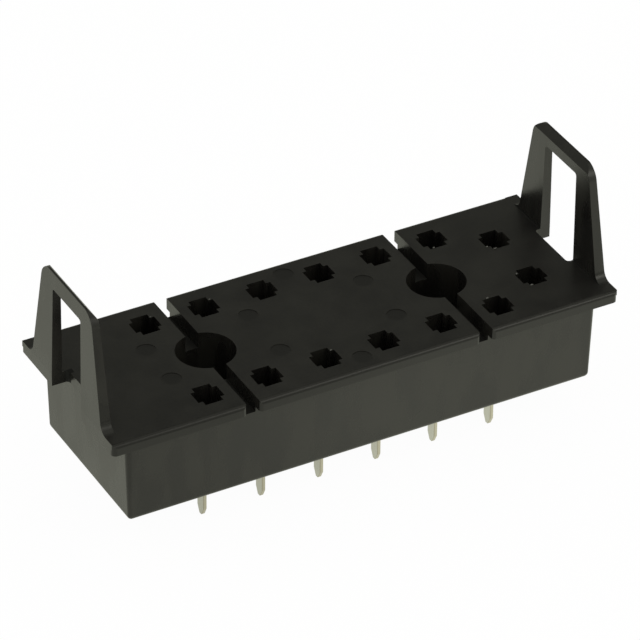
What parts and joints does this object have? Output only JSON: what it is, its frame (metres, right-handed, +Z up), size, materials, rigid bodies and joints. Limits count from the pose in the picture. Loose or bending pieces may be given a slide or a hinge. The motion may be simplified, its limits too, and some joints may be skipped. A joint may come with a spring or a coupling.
{
  "type": "relay socket",
  "caption": "Low black socket for a printed circuit board that takes a plug-in relay, with a snap bail at each end and two screw holes.",
  "frame": {"origin": "centre of the housing's underside, which rests on the board", "axes": "+X along the contact rows towards the pair of coil contacts, +Y from the front row to the back row, +Z up to the relay"},
  "size_m": [0.044, 0.0158, 0.0204],
  "materials": {
    "housing": "satin black moulded thermoplastic",
    "contact": "tin plated, stamped and folded"
  },
  "bodies": {
    "root": {"housing": "housing", "contact_front_1": "contact", "contact_front_2": "contact", "contact_front_3": "contact", "contact_front_4": "contact", "contact_front_5": "contact", "contact_front_6": "contact", "contact_back_1": "contact", "contact_back_2": "contact", "contact_back_3": "contact", "contact_back_4": "contact", "contact_back_5": "contact", "contact_back_6": "contact", "coil_contact_front": "contact", "coil_contact_back": "contact"}
  },
  "joints": []
}
